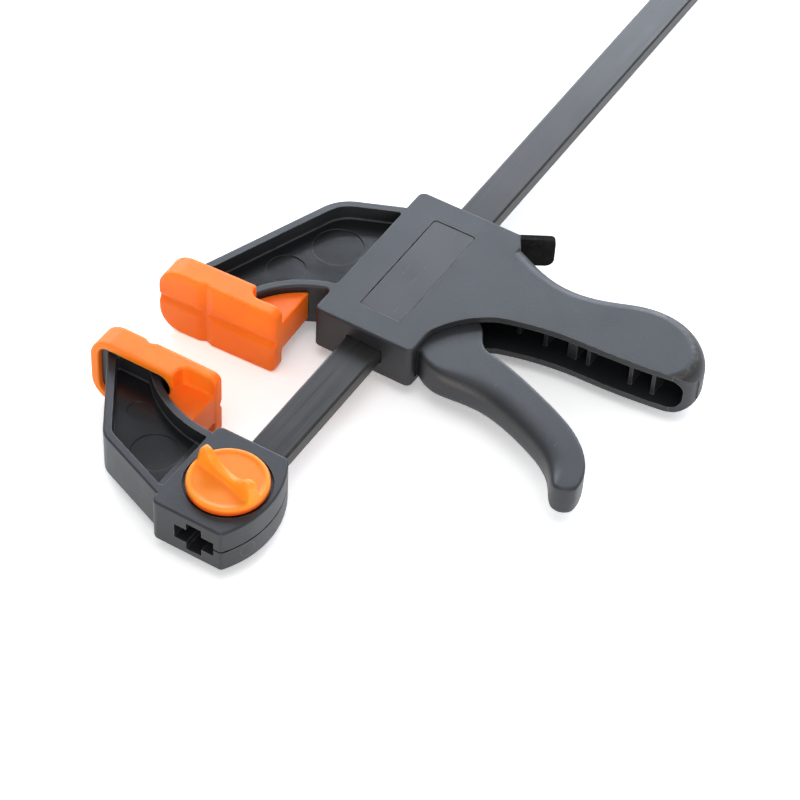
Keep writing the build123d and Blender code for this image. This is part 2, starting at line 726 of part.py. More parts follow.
with BuildPart() as housing:
    with BuildSketch() as body_plan:
        with BuildLine():
            Polyline(
                (body_front, body_low),
                (grip_front[1][0], body_low),
                (grip_front[2][0], grip_front[1][1]),
                (body_heel_inner[0] - body_heel_overlap, body_heel_inner[1]),
                body_heel_inner,
                (body_rear, body_heel),
                (body_rear, body_top),
                (body_front, body_top),
                close=True,
            )
        make_face()
        fillet(nearest(body_plan.vertices(), (body_rear, body_top)), body_rear_round)
        fillet(body_plan.vertices().group_by(Axis.X)[0], body_front_round)
        add(moving_arm_plan)
        top_corners = body_plan.vertices().filter_by_position(Axis.Y, body_top - bury, body_top + bury)
        crook_end = (moving_crook_center[0] + moving_crook_radius, body_top)
        fillet(nearest(top_corners, crook_end), crook_corner_round)
    extrude(amount=thickness)
    fillet(housing.faces().sort_by(Axis.Z)[-1].outer_wire().edges(), edge_round)
    fillet(housing.faces().sort_by(Axis.Z)[0].outer_wire().edges(), edge_round)
    add(grip.part)
    # Pockets in both faces of the arm, down to the web, and the marks on it
    add(moving_arm_pockets, mode=Mode.SUBTRACT)
    for center, diameter in moving_marks:
        with BuildSketch(Plane.XY.offset(mid + arm_web / 2 - mark_depth)):
            with Locations(center):
                Circle(diameter / 2)
        extrude(amount=mark_depth, mode=Mode.SUBTRACT)
    # Head plate, in the toed-in frame of its pad
    with BuildSketch(across(moving_pad_frame).offset(head_back_depth)):
        add(head_outline.sketch)
    extrude(amount=-head_thickness)
    # Hollow with a round end, then the partition and the ribs that stand in it
    with BuildSketch(Plane.XY.offset(wall)):
        add(hollow.sketch)
    extrude(amount=inner_height, mode=Mode.SUBTRACT)
    channel_levels = (wall, thickness - wall)
    channel_end = (channel_foot[0] - bury, channel_foot[1])
    end_edges = [nearest(housing.edges(), (*channel_end, height)) for height in channel_levels]
    fillet(end_edges, grip_end_round)
    with BuildSketch(Plane.XY.offset(wall)):
        with Locations((seat_wall_front, seat_wall_low)):
            Rectangle(seat_wall_thickness, inner_top - seat_wall_low, align=Align.MIN)
        for height in rib_heights:
            with Locations((rib_front_x, height)):
                Rectangle(rib_reach, rib_thickness, align=(Align.MIN, Align.CENTER))
        with Locations((rib_front_x, rib_block_height)):
            Rectangle(rib_reach, rib_block, align=(Align.MIN, Align.CENTER))
    extrude(amount=inner_height)
    # Bay of the brake lever, open to the rear for its tab
    with BuildSketch(Plane.XY.offset(wall)):
        with Locations((brake_wall_rear, brake_bay_low)):
            Rectangle(brake_bay_length, inner_top - brake_bay_low, align=Align.MIN)
            Rectangle(brake_bay_length + 2 * wall, release_mouth_top - brake_bay_low, align=Align.MIN)
    extrude(amount=inner_height, mode=Mode.SUBTRACT)
    # Way for the bar through the walls
    with BuildSketch(Plane.YZ.offset(body_front)):
        with Locations((0, mid)):
            Rectangle(guide_width, guide_height)
    extrude(amount=body_rear - body_front, mode=Mode.SUBTRACT)
    # Seats of the pins and springs
    with BuildSketch():
        with Locations(trigger_pivot):
            Circle(trigger_pin_diameter / 2 + press_gap)
    extrude(amount=thickness - wall + trigger_pin_seat, mode=Mode.SUBTRACT)
    with BuildSketch(Plane.XY.offset(wall - brake_pin_seat)):
        with Locations(brake_pivot):
            Circle(brake_pin_diameter / 2 + press_gap)
    extrude(amount=inner_height + 2 * brake_pin_seat, mode=Mode.SUBTRACT)
    with BuildSketch(Plane.YZ.offset(seat_wall_front)):
        with Locations((drive_spring_height, mid)):
            Circle(drive_spring_diameter / 2 + spring_seat_gap)
    extrude(amount=drive_spring_seat, mode=Mode.SUBTRACT)
    with BuildSketch(Plane.YZ.offset(inner_rear)):
        with Locations((brake_spring_height, mid)):
            Circle(brake_spring_diameter / 2 + spring_seat_gap)
    extrude(amount=brake_spring_seat, mode=Mode.SUBTRACT)
    # Recess of the nameplate
    with BuildSketch(Plane.XY.offset(thickness)):
        with Locations(nameplate_center):
            RectangleRounded(nameplate_length, nameplate_width, nameplate_corner)
    extrude(amount=-nameplate_recess, mode=Mode.SUBTRACT)
housing.part.label = "housing"

with BuildPart() as nameplate:
    with BuildSketch(Plane.XY.offset(thickness - nameplate_recess)):
        with Locations(nameplate_center):
            RectangleRounded(
                nameplate_length - 2 * nameplate_gap, nameplate_width - 2 * nameplate_gap, nameplate_corner
            )
    extrude(amount=nameplate_thickness)
nameplate.part.label = "nameplate"

# ---------------------------------------------------------------------------------------------
# Trigger and its pin
# ---------------------------------------------------------------------------------------------
part_low = mid - part_height / 2
with BuildPart() as trigger:
    # Lever below the bar
    with BuildSketch(Plane.XY.offset(part_low)):
        with BuildLine():
            Polyline(
                trigger_ear[-1],
                (trigger_ear[-1][0] + ear_lean, ear_top),
                (nose_pad_rear, ear_top + ear_slope),
                (nose_pad_rear, fork_base),
                (fork_front, fork_base),
                trigger_front[0],
            )
            Spline(*trigger_front, trigger_tip[0])
            ThreePointArc(*trigger_tip)
            Spline(trigger_tip[-1], trigger_heel, *trigger_rear)
            Spline(trigger_rear[-1], *trigger_ear)
        make_face()
    extrude(amount=part_height)
    # Softer edges of the front flank
    faces_z = (part_low, part_low + part_height)
    fillet([nearest(trigger.edges(), (*trigger_front[2], z)) for z in faces_z], trigger_face_round)
    # Fork: two cheeks that straddle the bar and carry the pivot boss
    with BuildSketch(Plane.XY.offset(part_low)) as cheek:
        with BuildLine():
            Polyline(
                (fork_front, fork_base - bury),
                (nose_pad_rear, fork_base - bury),
                (nose_pad_x, nose_pad_height - nose_pad_radius / 2),
                (nose_pad_x, nose_pad_height + nose_pad_radius),
                (trigger_pivot[0] + trigger_boss_radius, trigger_pivot[1]),
                (trigger_pivot[0] - trigger_boss_radius, trigger_pivot[1]),
                (fork_front, 0),
                close=True,
            )
        make_face()
        with Locations(trigger_pivot):
            Circle(trigger_boss_radius)
        with Locations((nose_pad_x, nose_pad_height)):
            Circle(nose_pad_radius)
    extrude(amount=part_height)
    with BuildSketch(Plane.XY.offset(bar_low - cheek_bar_gap)):
        with Locations((trigger_pivot[0], fork_base)):
            Rectangle(4 * trigger_boss_radius, cut_reach, align=(Align.CENTER, Align.MIN))
    extrude(amount=bar_thickness + 2 * cheek_bar_gap, mode=Mode.SUBTRACT)
    with BuildSketch():
        with Locations(trigger_pivot):
            Circle(trigger_pin_diameter / 2 + trigger_fit)
    extrude(amount=thickness, mode=Mode.SUBTRACT)
trigger.part.label = "trigger"

with BuildPart() as trigger_pivot_pin:
    with BuildSketch(Plane.XY.offset(trigger_pin_low)):
        with Locations(trigger_pivot):
            Circle(trigger_pin_diameter / 2)
    extrude(amount=thickness - wall + trigger_pin_seat - trigger_pin_low - press_gap)
    chamfer(trigger_pivot_pin.edges(), trigger_pin_chamfer)
trigger_pivot_pin.part.label = "trigger_pivot_pin"


# ---------------------------------------------------------------------------------------------
# Drive plates and springs
# ---------------------------------------------------------------------------------------------
def drive_plate(x):
    """Steel plate that hangs on the bar and grips it when the trigger tips it."""
    with BuildPart() as plate:
        with BuildSketch(Plane.YZ.offset(x)):
            with Locations(((drive_plate_low + drive_plate_high) / 2, mid)):
                RectangleRounded(drive_plate_high - drive_plate_low, part_height, edge_round)
            with Locations((0, mid)):
                Rectangle(drive_hole_width, drive_hole_height, mode=Mode.SUBTRACT)
        extrude(amount=drive_plate_thickness)
    return plate.part


def coil_spring(start, length, diameter, wire, turns):
    """Compression spring along +X from a start point."""
    height = length - wire - 2 * spring_end_gap
    foot = (start[0] + wire / 2 + spring_end_gap, start[1], start[2])
    with BuildPart() as spring:
        with BuildLine() as coil:
            Helix(
                pitch=height / turns,
                height=height,
                radius=(diameter - wire) / 2,
                center=foot,
                direction=(1, 0, 0),
            )
        with BuildSketch(Plane(origin=coil.line @ 0, z_dir=coil.line % 0)):
            Circle(wire / 2)
        sweep(path=coil.line, is_frenet=True)
    return spring.part


with BuildPart() as drive_plate_front:
    add(drive_plate(drive_plate_front_x))
drive_plate_front.part.label = "drive_plate_front"

with BuildPart() as drive_plate_rear:
    add(drive_plate(drive_plate_front_x + drive_plate_step))
drive_plate_rear.part.label = "drive_plate_rear"

drive_spring_length = seat_wall_front + drive_spring_seat - drive_plate_rear_x
drive_spring_coil = coil_spring(
    (drive_plate_rear_x, drive_spring_height, mid),
    drive_spring_length,
    drive_spring_diameter,
    drive_spring_wire,
    drive_spring_turns,
)
with BuildPart() as drive_spring:
    add(drive_spring_coil)
drive_spring.part.label = "drive_spring"

# ---------------------------------------------------------------------------------------------
# Brake lever with its thumb tab, fulcrum pin and spring
# ---------------------------------------------------------------------------------------------
tab_turn = radians(tab_angle - brake_tilt)
tab_start = Vector(brake_center_face, -tab_bend_drop)
tab_end = tab_start + Vector(sin(tab_turn), -cos(tab_turn)) * tab_length
# Frame at the tab's end: x along the tab, y up through the clamp
tab_frame = Plane(
    origin=brake_frame.from_local_coords(Vector(tab_end.X, tab_end.Y, 0)),
    x_dir=(sin(radians(tab_angle)), -cos(radians(tab_angle)), 0),
    z_dir=(-cos(radians(tab_angle)), -sin(radians(tab_angle)), 0),
)
with BuildPart() as brake_lever:
    with BuildSketch(brake_frame.offset(-part_height / 2)):
        with BuildLine():
            Polyline((brake_center_face, brake_plate_top), tab_start, tab_end)
        trace(line_width=brake_thickness)
    extrude(amount=part_height)
    with BuildSketch(across(brake_frame)):
        with Locations((brake_bar_height, 0)):
            Rectangle(brake_hole, bar_thickness + 2 * brake_side_gap)
    extrude(amount=4 * brake_thickness, mode=Mode.SUBTRACT)
    # Rounded corners at the tab's end, the lower one larger
    fillet(tab_corner(part_height / 2), tab_top_round)
    fillet(tab_corner(-part_height / 2), tab_low_round)
brake_lever.part.label = "brake_lever"

with BuildPart() as brake_fulcrum_pin:
    with BuildSketch(Plane.XY.offset(wall - brake_pin_seat + press_gap)):
        with Locations(brake_pivot):
            Circle(brake_pin_diameter / 2)
    extrude(amount=inner_height + 2 * brake_pin_seat - 2 * press_gap)
brake_fulcrum_pin.part.label = "brake_fulcrum_pin"

rear_face = brake_center_face + brake_thickness / 2
rear_touch = brake_frame.from_local_coords(Vector(rear_face, brake_spring_height + brake_pivot_drop, 0))
brake_spring_length = inner_rear + brake_spring_seat - rear_touch.X
brake_spring_coil = coil_spring(
    (rear_touch.X, brake_spring_height, mid),
    brake_spring_length,
    brake_spring_diameter,
    brake_spring_wire,
    brake_spring_turns,
)
with BuildPart() as brake_spring:
    add(brake_spring_coil)
brake_spring.part.label = "brake_spring"

finished = [bar, front_roll_pin, rear_roll_pin, fixed_jaw, quick_change_knob, knob_snap_ring, fixed_jaw_pad]
finished += [housing, moving_jaw_pad, nameplate, trigger, trigger_pivot_pin, drive_plate_front]
finished += [drive_plate_rear, drive_spring, brake_lever, brake_fulcrum_pin, brake_spring]

os.makedirs("parts", exist_ok=True)
for piece in finished:
    export_step(piece.part, f"parts/{piece.part.label}.step")
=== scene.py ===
"""Quick release bar clamp: finishes, melted skins, springs carried with the moving jaw and a plain studio.

Everything is in metres in the model's own frame: +X runs along the bar from the fixed jaw, +Y points
to the jaw tips and +Z is up through the clamp's thickness.
"""
from math import cos, radians, sin

import bpy
import numpy as np
from mathutils import Matrix, Vector


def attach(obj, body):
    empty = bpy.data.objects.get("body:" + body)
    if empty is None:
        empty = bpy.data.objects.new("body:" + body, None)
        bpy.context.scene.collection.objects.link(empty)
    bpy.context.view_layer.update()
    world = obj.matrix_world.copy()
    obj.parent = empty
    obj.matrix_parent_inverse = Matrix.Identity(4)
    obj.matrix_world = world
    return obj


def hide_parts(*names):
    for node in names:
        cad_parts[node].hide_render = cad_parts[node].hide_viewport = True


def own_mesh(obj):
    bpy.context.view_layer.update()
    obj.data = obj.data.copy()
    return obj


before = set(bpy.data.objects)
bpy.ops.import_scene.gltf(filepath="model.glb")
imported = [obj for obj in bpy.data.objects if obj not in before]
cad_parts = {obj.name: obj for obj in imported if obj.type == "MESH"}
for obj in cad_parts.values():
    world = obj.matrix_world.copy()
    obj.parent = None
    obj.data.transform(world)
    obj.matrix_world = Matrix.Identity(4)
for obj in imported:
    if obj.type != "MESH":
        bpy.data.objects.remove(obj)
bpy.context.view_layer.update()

MM = 0.001
WEB_LOW = 5.2 * MM  # just outside the faces of the arms' web
WEB_HIGH = 11.0 * MM
ARM_START = 20.0 * MM  # the arms' pockets start past this
PADS_MIDDLE = 47.8 * MM  # halfway between the pads' faces along X
TAIL_DEPTH = 19.6 * MM  # the pads' tails start this far from there
TAIL_HIGH = 37.5 * MM  # and end below this along Y
HEEL_SPAN = (24.2 * MM, 26.8 * MM)  # the low ends of the pads along Y
HIGHLIGHT_SPAN = ((-50.0 * MM, -36.0 * MM), (-29.0 * MM, -25.5 * MM))  # painted highlight strip along the trigger's flank
HIGHLIGHT_HEIGHT = 11.2 * MM
HIGHLIGHT_HALF = 1.9 * MM
GATE_AT = (-9.8 * MM, 0.0, 4.6 * MM)  # mark of the mould's gate on the nose's flank
GATE_RADIUS = 2.5 * MM
GATE_LINE = 0.16 * MM
FLANK_START = -10.0 * MM  # the nose's flank lies past this
STAIN_SPAN = (-72.0 * MM, -60.0 * MM)  # the grip's stained end along Y
STAIN_LOW = 14.0 * MM
DISC_SPAN = (16.6 * MM, 18.3 * MM)  # the side of the knob's disc along Z
SCUFF_TURNS = ((0.3, 0.2, 0.6), (-0.5, 0.1, -0.9))  # the two ways that scuffs run, as turns
SCUFF_STRETCH = (1.0, 9.0, 5.0)
SEE_THROUGH_RADIUS = (1.0, 0.3, 0.08)  # how far red, green and blue spread in soft plastic
SEE_THROUGH_DEPTH = 5.0 * MM

# ---------------------------------------------------------------------------------------------
# Colours and finishes, as linear light
# ---------------------------------------------------------------------------------------------
SLATE = (0.0145, 0.0158, 0.0190)
# paler slate for wear and scuffs, also painted as a highlight on the trigger's flank and on moulded edges
SLATE_WEAR_AND_HIGHLIGHT = (0.20, 0.178, 0.150)
GRIP_STAIN = (0.085, 0.070, 0.052)
TAB_BLACK = (0.0030, 0.0030, 0.0031)
TAB_LINT = (0.045, 0.041, 0.037)
PLATE_GREY = (0.024, 0.0222, 0.0220)
BAR_BLACK = (0.044, 0.0425, 0.0415)
PIN_STEEL = (0.30, 0.29, 0.28)
PLATE_STEEL = (0.34, 0.33, 0.31)
SPRING_STEEL = (0.42, 0.41, 0.40)
RUBBED_STEEL = (0.26, 0.25, 0.24)
PAD_ORANGE = (0.95, 0.230, 0.013)
PAD_PALE = (1.0, 0.27, 0.05)
# darker orange painted as shade on the pads' sheltered tails and heels
PAD_SHADED = (0.94, 0.150, 0.006)
KNOB_ORANGE = (0.98, 0.335, 0.022)
KNOB_PALE = (1.0, 0.37, 0.05)
# darker orange painted as shade low on the knob disc's side
KNOB_SHADED = (0.92, 0.110, 0.008)


# ---------------------------------------------------------------------------------------------
# Node helpers
# ---------------------------------------------------------------------------------------------
def put(tree, kind, inputs=(), **settings):
    """A node with its settings; each input is a plain value or an output socket to link."""
    made = tree.nodes.new(kind)
    for name, value in settings.items():
        setattr(made, name, value)
    for socket, value in dict(inputs).items():
        target = made.inputs[socket]
        if isinstance(value, bpy.types.NodeSocket):
            tree.links.new(value, target)
        else:
            target.default_value = value
    return made


def calc(tree, operation, *values, clamp=False):
    """Output of a Math node over values or sockets."""
    return put(tree, "ShaderNodeMath", enumerate(values), operation=operation, use_clamp=clamp).outputs[0]


def blend_colors(tree, share, first, second):
    """Colour between two by a share from 0 to 1."""
    mixed = put(tree, "ShaderNodeMix", data_type="RGBA", clamp_factor=True)
    for index, value in ((0, share), (6, first), (7, second)):
        target = mixed.inputs[index]
        if isinstance(value, bpy.types.NodeSocket):
            tree.links.new(value, target)
        else:
            target.default_value = (*value, 1.0) if index else value
    return mixed.outputs[2]


def spread(tree, value, low, high, new_low=0.0, new_high=1.0):
    """A value stretched from one range to another and held inside it."""
    inputs = {0: value, 1: low, 2: high, 3: new_low, 4: new_high}
    return put(tree, "ShaderNodeMapRange", inputs, clamp=True).outputs[0]


def place_in(tree):
    """The point's place in its own piece."""
    return put(tree, "ShaderNodeTexCoord").outputs["Object"]


def axes_of(tree, vector):
    """The X, Y and Z of a vector."""
    return put(tree, "ShaderNodeSeparateXYZ", {0: vector}).outputs


def facing_up(tree, normal):
    """The height of one of the surface's normals."""
    return axes_of(tree, put(tree, "ShaderNodeNewGeometry").outputs[normal])["Z"]


def shade(color, share):
    """The colour with each channel times a share."""
    return tuple(share * channel for channel in color)


def new_group(name, inputs, outputs):
    """Empty shader group with float sockets, and its own ends."""
    group = bpy.data.node_groups.new(name, "ShaderNodeTree")
    for label, start in inputs.items():
        socket = group.interface.new_socket(label, in_out="INPUT", socket_type="NodeSocketFloat")
        socket.default_value = start
    for label in outputs:
        group.interface.new_socket(label, in_out="OUTPUT", socket_type="NodeSocketFloat")
    return group, group.nodes.new("NodeGroupInput").outputs, group.nodes.new("NodeGroupOutput").inputs


def spark_grain():
    """Mould surface: fine height noise of a given size, and a slow mottle thirty times as large."""
    group, given, out = new_group("spark_grain", {"Size": 0.0004, "Mottle": 0.012}, ("Height", "Tone"))
    place = place_in(group)
    fine = calc(group, "DIVIDE", 1.0, given["Size"])
    slow = calc(group, "DIVIDE", 1.0, given["Mottle"])
    inputs = {"Vector": place, "Scale": fine, "Detail": 3.0, "Roughness": 0.6}
    grain = put(group, "ShaderNodeTexNoise", inputs)
    inputs = {"Vector": place, "Scale": slow, "Detail": 4.0, "Roughness": 0.55}
    mottle = put(group, "ShaderNodeTexNoise", inputs)
    group.links.new(grain.outputs["Fac"], out["Height"])
    group.links.new(spread(group, mottle.outputs["Fac"], 0.3, 0.7), out["Tone"])
    return group


def drawn_streaks():
    """Lines left by drawing: noise that is stretched along X by the given ratio."""
    group, given, out = new_group("drawn_streaks", {"Width": 0.0005, "Ratio": 60.0}, ("Streak",))
    place = place_in(group)
    across = calc(group, "DIVIDE", 1.0, given["Width"])
    along = calc(group, "DIVIDE", across, given["Ratio"])
    scale = put(group, "ShaderNodeCombineXYZ", {"X": along, "Y": across, "Z": across}).outputs[0]
    stretched = put(group, "ShaderNodeVectorMath", {0: place, 1: scale}, operation="MULTIPLY").outputs[0]
    inputs = {"Vector": stretched, "Scale": 1.0, "Detail": 3.0, "Roughness": 0.5}
    noise = put(group, "ShaderNodeTexNoise", inputs)
    group.links.new(spread(group, noise.outputs["Fac"], 0.3, 0.7), out["Streak"])
    return group


def handling_marks():
    """Sparse short scuffs: two stretched noises, turned against each other, where both peak."""
    group, given, out = new_group("handling_marks", {"Length": 0.006, "Amount": 0.5}, ("Mark",))
    place = place_in(group)
    size = calc(group, "DIVIDE", 1.0, given["Length"])
    parts = []
    for turn in SCUFF_TURNS:
        inputs = {"Vector": place, "Rotation": turn, "Scale": SCUFF_STRETCH}
        turned = put(group, "ShaderNodeMapping", inputs).outputs[0]
        inputs = {"Vector": turned, "Scale": size, "Detail": 2.0}
        parts.append(put(group, "ShaderNodeTexNoise", inputs).outputs["Fac"])
    peak = calc(group, "MAXIMUM", *parts)
    floor_level = calc(group, "SUBTRACT", 0.86, calc(group, "MULTIPLY", given["Amount"], 0.2))
    mark = calc(group, "MULTIPLY", calc(group, "SUBTRACT", peak, floor_level), 14.0, clamp=True)
    group.links.new(mark, out["Mark"])
    return group


# the paler edges this gives are wear, and on the dark mouldings partly a painted edge highlight
def edge_wear_and_highlight():
    """Where a surface turns within a small radius: one less the cosine between the true normal and a
    rounded one, broken up by noise."""
    group, given, out = new_group("edge_wear_and_highlight", {"Radius": 0.0006, "Break": 0.003}, ("WearAndHighlight",))
    place = place_in(group)
    rounded = put(group, "ShaderNodeBevel", {"Radius": given["Radius"]}, samples=4).outputs[0]
    true = put(group, "ShaderNodeNewGeometry").outputs["Normal"]
    facing = put(group, "ShaderNodeVectorMath", {0: rounded, 1: true}, operation="DOT_PRODUCT")
    turn = calc(group, "SUBTRACT", 1.0, facing.outputs["Value"])
    size = calc(group, "DIVIDE", 1.0, given["Break"])
    noise = put(group, "ShaderNodeTexNoise", {"Vector": place, "Scale": size, "Detail": 3.0}).outputs["Fac"]
    broken = spread(group, noise, 0.34, 0.56)
    group.links.new(calc(group, "MULTIPLY", spread(group, turn, 0.01, 0.10), broken), out["WearAndHighlight"])
    return group


GRAIN = spark_grain()
STREAKS = drawn_streaks()
MARKS = handling_marks()
EDGE_WEAR_AND_HIGHLIGHT = edge_wear_and_highlight()


def place_group(tree, group, **values):
    """The outputs of a shared group with its own input values."""
    made = put(tree, "ShaderNodeGroup", node_tree=group)
    for name, value in values.items():
        made.inputs[name.title()].default_value = value
    return made.outputs


def new_finish(name, roughness, metallic=0.0, shine=0.5):
    """A material with its shader, whose constants are set on the shader itself."""
    material = bpy.data.materials.new(name)
    material.use_nodes = True
    shader = material.node_tree.nodes["Principled BSDF"]
    shader.inputs["Roughness"].default_value = roughness
    shader.inputs["Metallic"].default_value = metallic
    shader.inputs["Specular IOR Level"].default_value = shine
    return material, material.node_tree, shader


def relief(tree, shader, height, depth, strength=1.0, soft_edge=0.0):
    """Bump from a height, over edges that are rounded by soft_edge."""
    inputs = {"Height": height, "Distance": depth, "Strength": strength}
    if soft_edge:
        inputs["Normal"] = put(tree, "ShaderNodeBevel", {"Radius": soft_edge}, samples=4).outputs[0]
    tree.links.new(put(tree, "ShaderNodeBump", inputs).outputs[0], shader.inputs["Normal"])


def web_floors():
    """One in the arms' pockets at the web's height, past the body, and one on their level floors."""
    inputs = {"Low": 0.0, "High": 0.01, "Start": 0.02}
    group, given, out = new_group("web_floors", inputs, ("Floor", "Pocket"))
    _, y, z = axes_of(group, place_in(group))
    upright = facing_up(group, "True Normal")
    level = calc(group, "GREATER_THAN", calc(group, "ABSOLUTE", upright), 0.9)
    above = calc(group, "GREATER_THAN", z, given["Low"])
    inside = calc(group, "MULTIPLY", above, calc(group, "LESS_THAN", z, given["High"]))
    past = calc(group, "GREATER_THAN", y, given["Start"])
    pocket = calc(group, "MULTIPLY", inside, past)
    group.links.new(pocket, out["Pocket"])
    group.links.new(calc(group, "MULTIPLY", level, pocket), out["Floor"])
    return group


def flank_painted_highlight():
    """A soft strip along the trigger's flank, just under its upper edge: a painted highlight."""
    group, _, out = new_group("flank_painted_highlight", {}, ("Highlight",))
    place = place_in(group)
    _, y, z = axes_of(group, place)
    off = calc(group, "ABSOLUTE", calc(group, "SUBTRACT", z, HIGHLIGHT_HEIGHT))
    strip = spread(group, off, 0.0, HIGHLIGHT_HALF, 1.0, 0.0)
    strip = calc(group, "MULTIPLY", strip, spread(group, y, *HIGHLIGHT_SPAN[0]))
    strip = calc(group, "MULTIPLY", strip, spread(group, y, *HIGHLIGHT_SPAN[1], 1.0, 0.0))
    inputs = {"Vector": place, "Scale": 900.0, "Detail": 4.0}
    noise = put(group, "ShaderNodeTexNoise", inputs).outputs["Fac"]
    uneven = spread(group, noise, 0.3, 0.7, 0.55, 1.0)
    group.links.new(calc(group, "MULTIPLY", strip, uneven), out["Highlight"])
    return group


def gate_mark():
    """A thin ring on the nose's flank: places whose distance from its middle is the ring's radius."""
    group, _, out = new_group("gate_mark", {}, ("Ring",))
    x, y, z = axes_of(group, place_in(group))
    flat = put(group, "ShaderNodeCombineXYZ", {"X": x, "Z": z}).outputs[0]
    reach = put(group, "ShaderNodeVectorMath", {0: flat, 1: GATE_AT}, operation="DISTANCE")
    off = calc(group, "ABSOLUTE", calc(group, "SUBTRACT", reach.outputs["Value"], GATE_RADIUS))
    ring = spread(group, off, 0.0, GATE_LINE, 1.0, 0.0)
    group.links.new(calc(group, "MULTIPLY", ring, calc(group, "LESS_THAN", y, FLANK_START)), out["Ring"])
    return group


def grip_stains():
    """Blots where the grip's upper face starts to round over, near its end."""
    group, _, out = new_group("grip_stains", {}, ("Stain",))
    place = place_in(group)
    _, y, z = axes_of(group, place)
    upright = facing_up(group, "Normal")
    begun = spread(group, upright, 0.999, 0.985)
    turning = calc(group, "MULTIPLY", spread(group, upright, 0.80, 0.93), begun)
    high = calc(group, "GREATER_THAN", z, STAIN_LOW)
    near_end = calc(group, "MULTIPLY", spread(group, y, *STAIN_SPAN, 1.0, 0.0), high)
    inputs = {"Vector": place, "Scale": 330.0, "Detail": 5.0, "Roughness": 0.6}
    noise = put(group, "ShaderNodeTexNoise", inputs).outputs["Fac"]
    blots = calc(group, "MULTIPLY", turning, spread(group, noise, 0.44, 0.62))
    group.links.new(calc(group, "MULTIPLY", blots, near_end), out["Stain"])
    return group


WEB = web_floors()
FLANK_HIGHLIGHT = flank_painted_highlight()
GATE = gate_mark()
STAINS = grip_stains()


def moulded_plastic(
    name, color, worn_and_lit, roughness, grain=0.0005, depth=0.00004, wear=0.5, web=0.0, spot=None
):
    """Spark-eroded moulding: mottled colour, scuffs, paler rubbed edges that are partly a painted edge
    highlight, fine grain, smoother floors where web says how much, darkened there as painted shade,
    and a spot: a group, its output, a colour and a share."""
    material, tree, shader = new_finish(name, roughness)
    skin = place_group(tree, GRAIN, size=grain, mottle=0.014)
    rub = place_group(tree, EDGE_WEAR_AND_HIGHLIGHT, radius=0.00038)["WearAndHighlight"]
    marks = place_group(tree, MARKS, amount=wear)["Mark"]
    pockets = place_group(tree, WEB, low=WEB_LOW, high=WEB_HIGH, start=ARM_START)
    rub = calc(tree, "MULTIPLY", rub, calc(tree, "SUBTRACT", 1.0, pockets["Pocket"]))
    ground = blend_colors(tree, skin["Tone"], shade(color, 0.86), color)
    scuffs = calc(tree, "MULTIPLY", marks, 0.3)
    # rubbed edges: wear, and partly a painted edge highlight
    wear_and_highlight_mask = calc(tree, "MAXIMUM", calc(tree, "MULTIPLY", rub, 0.75), scuffs)
    rough = spread(tree, skin["Tone"], 0.0, 1.0, roughness - 0.05, roughness + 0.05)
    rough = calc(tree, "ADD", rough, calc(tree, "MULTIPLY", wear_and_highlight_mask, 0.12))
    if web:
        rough = calc(tree, "SUBTRACT", rough, calc(tree, "MULTIPLY", pockets["Floor"], web))
        # painted shade: the pockets' level floors take half the colour
        ground = blend_colors(tree, pockets["Floor"], ground, shade(color, 0.5))
    if spot:
        group, output, tint, share = spot
        tinted = calc(tree, "MULTIPLY", place_group(tree, group)[output], share)
        ground = blend_colors(tree, tinted, ground, tint)
    tree.links.new(blend_colors(tree, wear_and_highlight_mask, ground, worn_and_lit), shader.inputs["Base Color"])
    tree.links.new(rough, shader.inputs["Roughness"])
    relief(tree, shader, skin["Height"], depth, soft_edge=0.0003)
    return material


def blackened_steel(name, color, roughness, metallic=0.75, width=0.0005):
    """Black oxide over drawn steel: streaks along X, cloudy tone, bright rubbed corners."""
    material, tree, shader = new_finish(name, roughness, metallic)
    streak = place_group(tree, STREAKS, width=width)["Streak"]
    cloud = place_group(tree, GRAIN, size=0.0006, mottle=0.02)
    rub = place_group(tree, EDGE_WEAR_AND_HIGHLIGHT, radius=0.0006, **{"break": 0.002})["WearAndHighlight"]
    half_cloud = calc(tree, "MULTIPLY", cloud["Tone"], 0.5)
    tone = calc(tree, "ADD", calc(tree, "MULTIPLY", streak, 0.5), half_cloud)
    ground = blend_colors(tree, tone, shade(color, 0.8), shade(color, 1.15))
    tree.links.new(blend_colors(tree, rub, ground, RUBBED_STEEL), shader.inputs["Base Color"])
    rough = spread(tree, streak, 0.0, 1.0, roughness - 0.06, roughness + 0.08)
    tree.links.new(rough, shader.inputs["Roughness"])
    relief(tree, shader, calc(tree, "ADD", streak, cloud["Height"]), 0.00001, soft_edge=0.0003)
    return material


def dipped_black(name, color, lint, roughness):
    """Thick dull rubber coat: coarse grains of 0.35 mm, deep relief, grey lint in the hollows."""
    material, tree, shader = new_finish(name, roughness, shine=0.2)
    coarse = place_group(tree, GRAIN, size=0.00035, mottle=0.004)
    speck = calc(tree, "MULTIPLY", spread(tree, coarse["Height"], 0.56, 0.74), 0.8)
    tree.links.new(blend_colors(tree, speck, color, lint), shader.inputs["Base Color"])
    rough = spread(tree, coarse["Tone"], 0.0, 1.0, roughness - 0.1, roughness + 0.1)
    tree.links.new(rough, shader.inputs["Roughness"])
    relief(tree, shader, coarse["Height"], 0.0003, soft_edge=0.0006)
    return material


def bare_steel(name, color, roughness, width=0.0003):
    """Plain steel with fine lines and a slightly uneven shine."""
    material, tree, shader = new_finish(name, roughness, 1.0)
    streak = place_group(tree, STREAKS, width=width, ratio=20.0)["Streak"]
    cloud = place_group(tree, GRAIN, size=0.0004, mottle=0.006)
    ground = blend_colors(tree, cloud["Tone"], shade(color, 0.75), color)
    tree.links.new(ground, shader.inputs["Base Color"])
    rough = spread(tree, streak, 0.0, 1.0, roughness - 0.06, roughness + 0.1)
    tree.links.new(rough, shader.inputs["Roughness"])
    relief(tree, shader, streak, 0.000006)
    return material


